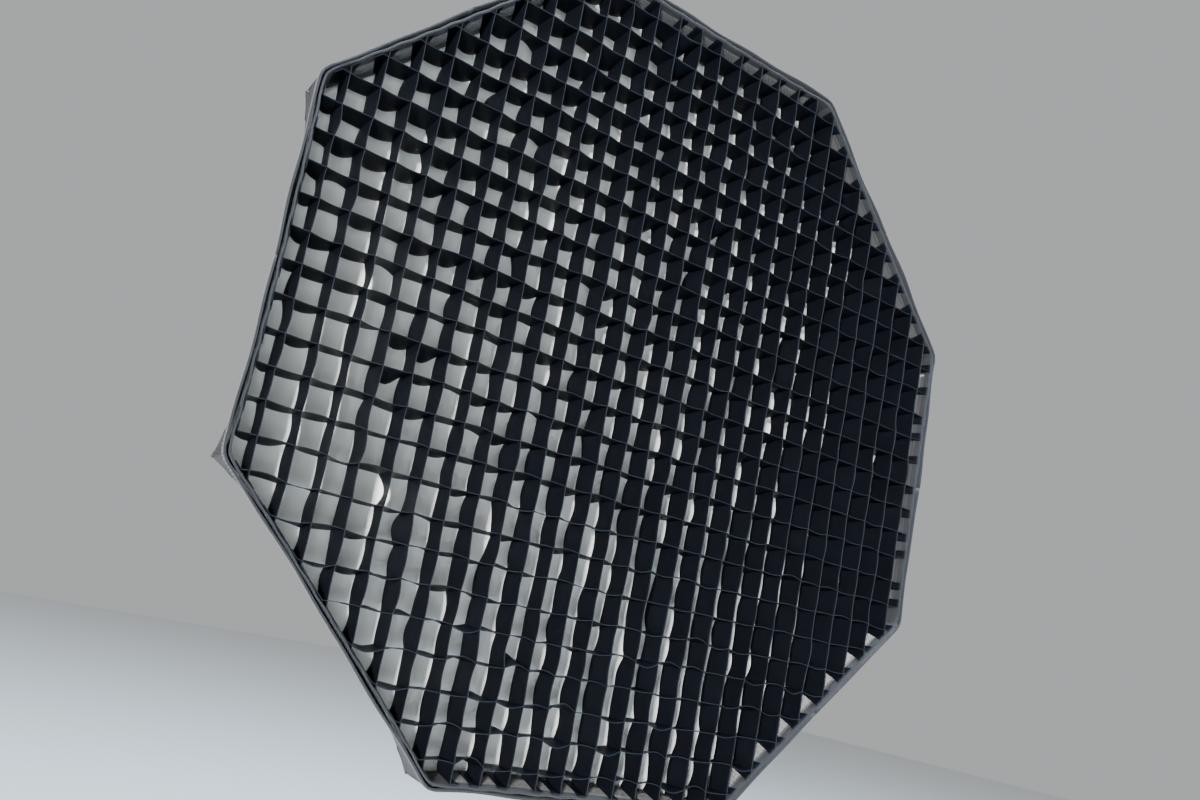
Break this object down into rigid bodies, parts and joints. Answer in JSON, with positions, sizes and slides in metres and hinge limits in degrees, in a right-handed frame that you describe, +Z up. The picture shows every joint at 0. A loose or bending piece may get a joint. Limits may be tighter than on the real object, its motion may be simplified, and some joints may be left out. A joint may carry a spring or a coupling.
{
  "type": "octabox",
  "caption": "Quick-folding octagonal softbox on a bayonet speed ring, with inner baffle, front diffuser and a fabric egg-crate grid.",
  "frame": {"origin": "centre of the lamp's bayonet seat, at the rear face of the insert's flange", "axes": "-Y along the optical axis towards the front, +Z up, +X to the right seen from the front"},
  "size_m": [1.1106, 0.5063, 1.1106],
  "materials": {
    "ring_metal": "turned, clear anodised",
    "ring_black": "satin black powder coat",
    "screw_steel": "zinc plated",
    "knob_plastic": "fine moulded texture",
    "rod_fitting": "satin black",
    "rod_steel": "dark spring steel",
    "shell_fabric": "black nylon outside, silver coated inside",
    "white_cloth": "translucent white diffusion cloth",
    "white_hem": "folded white hem",
    "elastic": "woven elastic",
    "hook_plastic": "moulded",
    "hook_tape": "hook and loop tape",
    "grid_border_nylon": "black nylon webbing",
    "grid_nylon": "black nylon ribbon"
  },
  "bodies": {
    "insert": {"bayonet_insert": "ring_metal", "retainer_plate": "ring_metal", "retainer_screws": "screw_steel"},
    "ring": {"speed_ring": "ring_black", "rod_hinge_pins": "screw_steel", "rear_collar": "shell_fabric"},
    "lock": {"lock_screw": "screw_steel", "lock_knob": "knob_plastic"},
    "rod_1": {"rod_root_1": "rod_fitting", "rod_1": "rod_steel"},
    "rod_2": {"rod_root_2": "rod_fitting", "rod_2": "rod_steel"},
    "rod_3": {"rod_root_3": "rod_fitting", "rod_3": "rod_steel"},
    "rod_4": {"rod_root_4": "rod_fitting", "rod_4": "rod_steel"},
    "rod_5": {"rod_root_5": "rod_fitting", "rod_5": "rod_steel"},
    "rod_6": {"rod_root_6": "rod_fitting", "rod_6": "rod_steel"},
    "rod_7": {"rod_root_7": "rod_fitting", "rod_7": "rod_steel"},
    "rod_8": {"rod_root_8": "rod_fitting", "rod_8": "rod_steel"},
    "gore_middle_1": {"gore_middle_1": "shell_fabric"},
    "gore_left_1": {"gore_left_1": "shell_fabric"},
    "gore_right_1": {"gore_right_1": "shell_fabric"},
    "gore_middle_2": {"gore_middle_2": "shell_fabric"},
    "gore_left_2": {"gore_left_2": "shell_fabric"},
    "gore_right_2": {"gore_right_2": "shell_fabric"},
    "gore_middle_3": {"gore_middle_3": "shell_fabric"},
    "gore_left_3": {"gore_left_3": "shell_fabric"},
    "gore_right_3": {"gore_right_3": "shell_fabric"},
    "gore_middle_4": {"gore_middle_4": "shell_fabric"},
    "gore_left_4": {"gore_left_4": "shell_fabric"},
    "gore_right_4": {"gore_right_4": "shell_fabric"},
    "gore_middle_5": {"gore_middle_5": "shell_fabric"},
    "gore_left_5": {"gore_left_5": "shell_fabric"},
    "gore_right_5": {"gore_right_5": "shell_fabric"},
    "gore_middle_6": {"gore_middle_6": "shell_fabric"},
    "gore_left_6": {"gore_left_6": "shell_fabric"},
    "gore_right_6": {"gore_right_6": "shell_fabric"},
    "gore_middle_7": {"gore_middle_7": "shell_fabric"},
    "gore_left_7": {"gore_left_7": "shell_fabric"},
    "gore_right_7": {"gore_right_7": "shell_fabric"},
    "gore_middle_8": {"gore_middle_8": "shell_fabric"},
    "gore_left_8": {"gore_left_8": "shell_fabric"},
    "gore_right_8": {"gore_right_8": "shell_fabric"},
    "baffle": {"inner_baffle": "white_cloth", "baffle_hem": "white_hem", "baffle_straps": "elastic", "baffle_hooks": "hook_plastic"},
    "diffuser": {"front_diffuser": "white_cloth", "diffuser_band": "hook_tape"},
    "grid": {"grid_border": "grid_border_nylon", "grid_upright_ribbons": "grid_nylon", "grid_level_ribbons": "grid_nylon", "grid_hook_tapes": "hook_tape"}
  },
  "joints": [
    {"name": "ring_turn", "type": "hinge", "parent": "insert", "child": "ring", "pos_m": [0, 0, 0], "axis": [0, -1, 0], "continuous": true},
    {"name": "lock_turn", "type": "hinge", "parent": "ring", "child": "lock", "pos_m": [0, -0.0103, 0], "axis": [1, 0, 0], "range_deg": [0, 360]},
    {"name": "fold", "type": "hinge", "parent": "ring", "child": "rod_1", "pos_m": [0.07391, -0.0263, 0.03061], "axis": [0.3827, 0, -0.9239], "range_deg": [0, 47.4]},
    {"name": "rod_2_fold", "type": "hinge", "parent": "ring", "child": "rod_2", "pos_m": [0.03061, -0.0263, 0.07391], "axis": [0.9239, 0, -0.3827], "range_deg": [0, 47.5]},
    {"name": "rod_3_fold", "type": "hinge", "parent": "ring", "child": "rod_3", "pos_m": [-0.03061, -0.0263, 0.07391], "axis": [0.9239, 0, 0.3827], "range_deg": [0, 47.5]},
    {"name": "rod_4_fold", "type": "hinge", "parent": "ring", "child": "rod_4", "pos_m": [-0.07391, -0.0263, 0.03061], "axis": [0.3827, 0, 0.9239], "range_deg": [0, 47.5]},
    {"name": "rod_5_fold", "type": "hinge", "parent": "ring", "child": "rod_5", "pos_m": [-0.07391, -0.0263, -0.03061], "axis": [-0.3827, 0, 0.9239], "range_deg": [0, 47.5]},
    {"name": "rod_6_fold", "type": "hinge", "parent": "ring", "child": "rod_6", "pos_m": [-0.03061, -0.0263, -0.07391], "axis": [-0.9239, 0, 0.3827], "range_deg": [0, 47.5]},
    {"name": "rod_7_fold", "type": "hinge", "parent": "ring", "child": "rod_7", "pos_m": [0.03061, -0.0263, -0.07391], "axis": [-0.9239, 0, -0.3827], "range_deg": [0, 47.5]},
    {"name": "rod_8_fold", "type": "hinge", "parent": "ring", "child": "rod_8", "pos_m": [0.07391, -0.0263, -0.03061], "axis": [-0.3827, 0, -0.9239], "range_deg": [0, 47.5]},
    {"name": "gore_middle_1_fold", "type": "hinge", "parent": "ring", "child": "gore_middle_1", "pos_m": [0.07391, -0.0263, 0], "axis": [0, 0, -1], "range_deg": [0, 25.75], "deforming": ["gore_middle_1"]},
    {"name": "gore_left_1_fold", "type": "hinge", "parent": "rod_1", "child": "gore_left_1", "pos_m": [0.07391, -0.0263, 0.03061], "axis": [0.7323, -0.6097, 0.3033], "range_deg": [0, 54.38], "deforming": ["gore_left_1"]},
    {"name": "gore_right_1_fold", "type": "hinge", "parent": "rod_8", "child": "gore_right_1", "pos_m": [0.07391, -0.0263, -0.03061], "axis": [-0.7323, 0.6097, 0.3033], "range_deg": [0, 54.38], "deforming": ["gore_right_1"]},
    {"name": "gore_middle_2_fold", "type": "hinge", "parent": "ring", "child": "gore_middle_2", "pos_m": [0.05226, -0.0263, 0.05226], "axis": [0.7071, 0, -0.7071], "range_deg": [0, 25.75], "deforming": ["gore_middle_2"]},
    {"name": "gore_left_2_fold", "type": "hinge", "parent": "rod_2", "child": "gore_left_2", "pos_m": [0.03061, -0.0263, 0.07391], "axis": [0.3033, -0.6097, 0.7323], "range_deg": [0, 54.38], "deforming": ["gore_left_2"]},
    {"name": "gore_right_2_fold", "type": "hinge", "parent": "rod_1", "child": "gore_right_2", "pos_m": [0.07391, -0.0263, 0.03061], "axis": [-0.7323, 0.6097, -0.3033], "range_deg": [0, 54.38], "deforming": ["gore_right_2"]},
    {"name": "gore_middle_3_fold", "type": "hinge", "parent": "ring", "child": "gore_middle_3", "pos_m": [0, -0.0263, 0.07391], "axis": [1, 0, 0], "range_deg": [0, 25.75], "deforming": ["gore_middle_3"]},
    {"name": "gore_left_3_fold", "type": "hinge", "parent": "rod_3", "child": "gore_left_3", "pos_m": [-0.03061, -0.0263, 0.07391], "axis": [-0.3033, -0.6097, 0.7323], "range_deg": [0, 54.38], "deforming": ["gore_left_3"]},
    {"name": "gore_right_3_fold", "type": "hinge", "parent": "rod_2", "child": "gore_right_3", "pos_m": [0.03061, -0.0263, 0.07391], "axis": [-0.3033, 0.6097, -0.7323], "range_deg": [0, 54.38], "deforming": ["gore_right_3"]},
    {"name": "gore_middle_4_fold", "type": "hinge", "parent": "ring", "child": "gore_middle_4", "pos_m": [-0.05226, -0.0263, 0.05226], "axis": [0.7071, 0, 0.7071], "range_deg": [0, 25.75], "deforming": ["gore_middle_4"]},
    {"name": "gore_left_4_fold", "type": "hinge", "parent": "rod_4", "child": "gore_left_4", "pos_m": [-0.07391, -0.0263, 0.03061], "axis": [-0.7323, -0.6097, 0.3033], "range_deg": [0, 54.38], "deforming": ["gore_left_4"]},
    {"name": "gore_right_4_fold", "type": "hinge", "parent": "rod_3", "child": "gore_right_4", "pos_m": [-0.03061, -0.0263, 0.07391], "axis": [0.3033, 0.6097, -0.7323], "range_deg": [0, 54.38], "deforming": ["gore_right_4"]},
    {"name": "gore_middle_5_fold", "type": "hinge", "parent": "ring", "child": "gore_middle_5", "pos_m": [-0.07391, -0.0263, 0], "axis": [0, 0, 1], "range_deg": [0, 25.75], "deforming": ["gore_middle_5"]},
    {"name": "gore_left_5_fold", "type": "hinge", "parent": "rod_5", "child": "gore_left_5", "pos_m": [-0.07391, -0.0263, -0.03061], "axis": [-0.7323, -0.6097, -0.3033], "range_deg": [0, 54.38], "deforming": ["gore_left_5"]},
    {"name": "gore_right_5_fold", "type": "hinge", "parent": "rod_4", "child": "gore_right_5", "pos_m": [-0.07391, -0.0263, 0.03061], "axis": [0.7323, 0.6097, -0.3033], "range_deg": [0, 54.38], "deforming": ["gore_right_5"]},
    {"name": "gore_middle_6_fold", "type": "hinge", "parent": "ring", "child": "gore_middle_6", "pos_m": [-0.05226, -0.0263, -0.05226], "axis": [-0.7071, 0, 0.7071], "range_deg": [0, 25.75], "deforming": ["gore_middle_6"]},
    {"name": "gore_left_6_fold", "type": "hinge", "parent": "rod_6", "child": "gore_left_6", "pos_m": [-0.03061, -0.0263, -0.07391], "axis": [-0.3033, -0.6097, -0.7323], "range_deg": [0, 54.38], "deforming": ["gore_left_6"]},
    {"name": "gore_right_6_fold", "type": "hinge", "parent": "rod_5", "child": "gore_right_6", "pos_m": [-0.07391, -0.0263, -0.03061], "axis": [0.7323, 0.6097, 0.3033], "range_deg": [0, 54.38], "deforming": ["gore_right_6"]},
    {"name": "gore_middle_7_fold", "type": "hinge", "parent": "ring", "child": "gore_middle_7", "pos_m": [0, -0.0263, -0.07391], "axis": [-1, 0, 0], "range_deg": [0, 25.75], "deforming": ["gore_middle_7"]},
    {"name": "gore_left_7_fold", "type": "hinge", "parent": "rod_7", "child": "gore_left_7", "pos_m": [0.03061, -0.0263, -0.07391], "axis": [0.3033, -0.6097, -0.7323], "range_deg": [0, 54.38], "deforming": ["gore_left_7"]},
    {"name": "gore_right_7_fold", "type": "hinge", "parent": "rod_6", "child": "gore_right_7", "pos_m": [-0.03061, -0.0263, -0.07391], "axis": [0.3033, 0.6097, 0.7323], "range_deg": [0, 54.38], "deforming": ["gore_right_7"]},
    {"name": "gore_middle_8_fold", "type": "hinge", "parent": "ring", "child": "gore_middle_8", "pos_m": [0.05226, -0.0263, -0.05226], "axis": [-0.7071, 0, -0.7071], "range_deg": [0, 25.75], "deforming": ["gore_middle_8"]},
    {"name": "gore_left_8_fold", "type": "hinge", "parent": "rod_8", "child": "gore_left_8", "pos_m": [0.07391, -0.0263, -0.03061], "axis": [0.7323, -0.6097, -0.3033], "range_deg": [0, 54.38], "deforming": ["gore_left_8"]},
    {"name": "gore_right_8_fold", "type": "hinge", "parent": "rod_7", "child": "gore_right_8", "pos_m": [0.03061, -0.0263, -0.07391], "axis": [-0.3033, 0.6097, 0.7323], "range_deg": [0, 54.38], "deforming": ["gore_right_8"]},
    {"name": "baffle_off", "type": "slide", "parent": "ring", "child": "baffle", "axis": [0, -1, 0], "range_m": [0, 0.75]},
    {"name": "diffuser_off", "type": "slide", "parent": "baffle", "child": "diffuser", "axis": [0, -1, 0], "range_m": [0, 0.2]},
    {"name": "grid_off", "type": "slide", "parent": "diffuser", "child": "grid", "axis": [0, -1, 0], "range_m": [0, 0.2]}
  ],
  "couplings": [
    {"joint": "rod_2_fold", "follows": "fold", "ratio": 1},
    {"joint": "rod_3_fold", "follows": "fold", "ratio": 1},
    {"joint": "rod_4_fold", "follows": "fold", "ratio": 1},
    {"joint": "rod_5_fold", "follows": "fold", "ratio": 1},
    {"joint": "rod_6_fold", "follows": "fold", "ratio": 1},
    {"joint": "rod_7_fold", "follows": "fold", "ratio": 1},
    {"joint": "rod_8_fold", "follows": "fold", "ratio": 1},
    {"joint": "gore_middle_1_fold", "follows": "fold", "ratio": 0.54124},
    {"joint": "gore_left_1_fold", "follows": "fold", "ratio": 1.1452},
    {"joint": "gore_right_1_fold", "follows": "fold", "ratio": 1.1452},
    {"joint": "gore_middle_2_fold", "follows": "fold", "ratio": 0.54124},
    {"joint": "gore_left_2_fold", "follows": "fold", "ratio": 1.1452},
    {"joint": "gore_right_2_fold", "follows": "fold", "ratio": 1.1452},
    {"joint": "gore_middle_3_fold", "follows": "fold", "ratio": 0.54124},
    {"joint": "gore_left_3_fold", "follows": "fold", "ratio": 1.1452},
    {"joint": "gore_right_3_fold", "follows": "fold", "ratio": 1.1452},
    {"joint": "gore_middle_4_fold", "follows": "fold", "ratio": 0.54124},
    {"joint": "gore_left_4_fold", "follows": "fold", "ratio": 1.1452},
    {"joint": "gore_right_4_fold", "follows": "fold", "ratio": 1.1452},
    {"joint": "gore_middle_5_fold", "follows": "fold", "ratio": 0.54124},
    {"joint": "gore_left_5_fold", "follows": "fold", "ratio": 1.1452},
    {"joint": "gore_right_5_fold", "follows": "fold", "ratio": 1.1452},
    {"joint": "gore_middle_6_fold", "follows": "fold", "ratio": 0.54124},
    {"joint": "gore_left_6_fold", "follows": "fold", "ratio": 1.1452},
    {"joint": "gore_right_6_fold", "follows": "fold", "ratio": 1.1452},
    {"joint": "gore_middle_7_fold", "follows": "fold", "ratio": 0.54124},
    {"joint": "gore_left_7_fold", "follows": "fold", "ratio": 1.1452},
    {"joint": "gore_right_7_fold", "follows": "fold", "ratio": 1.1452},
    {"joint": "gore_middle_8_fold", "follows": "fold", "ratio": 0.54124},
    {"joint": "gore_left_8_fold", "follows": "fold", "ratio": 1.1452},
    {"joint": "gore_right_8_fold", "follows": "fold", "ratio": 1.1452},
    {"joint": "baffle_off", "follows": "fold", "m_per_rad": 0.9}
  ]
}
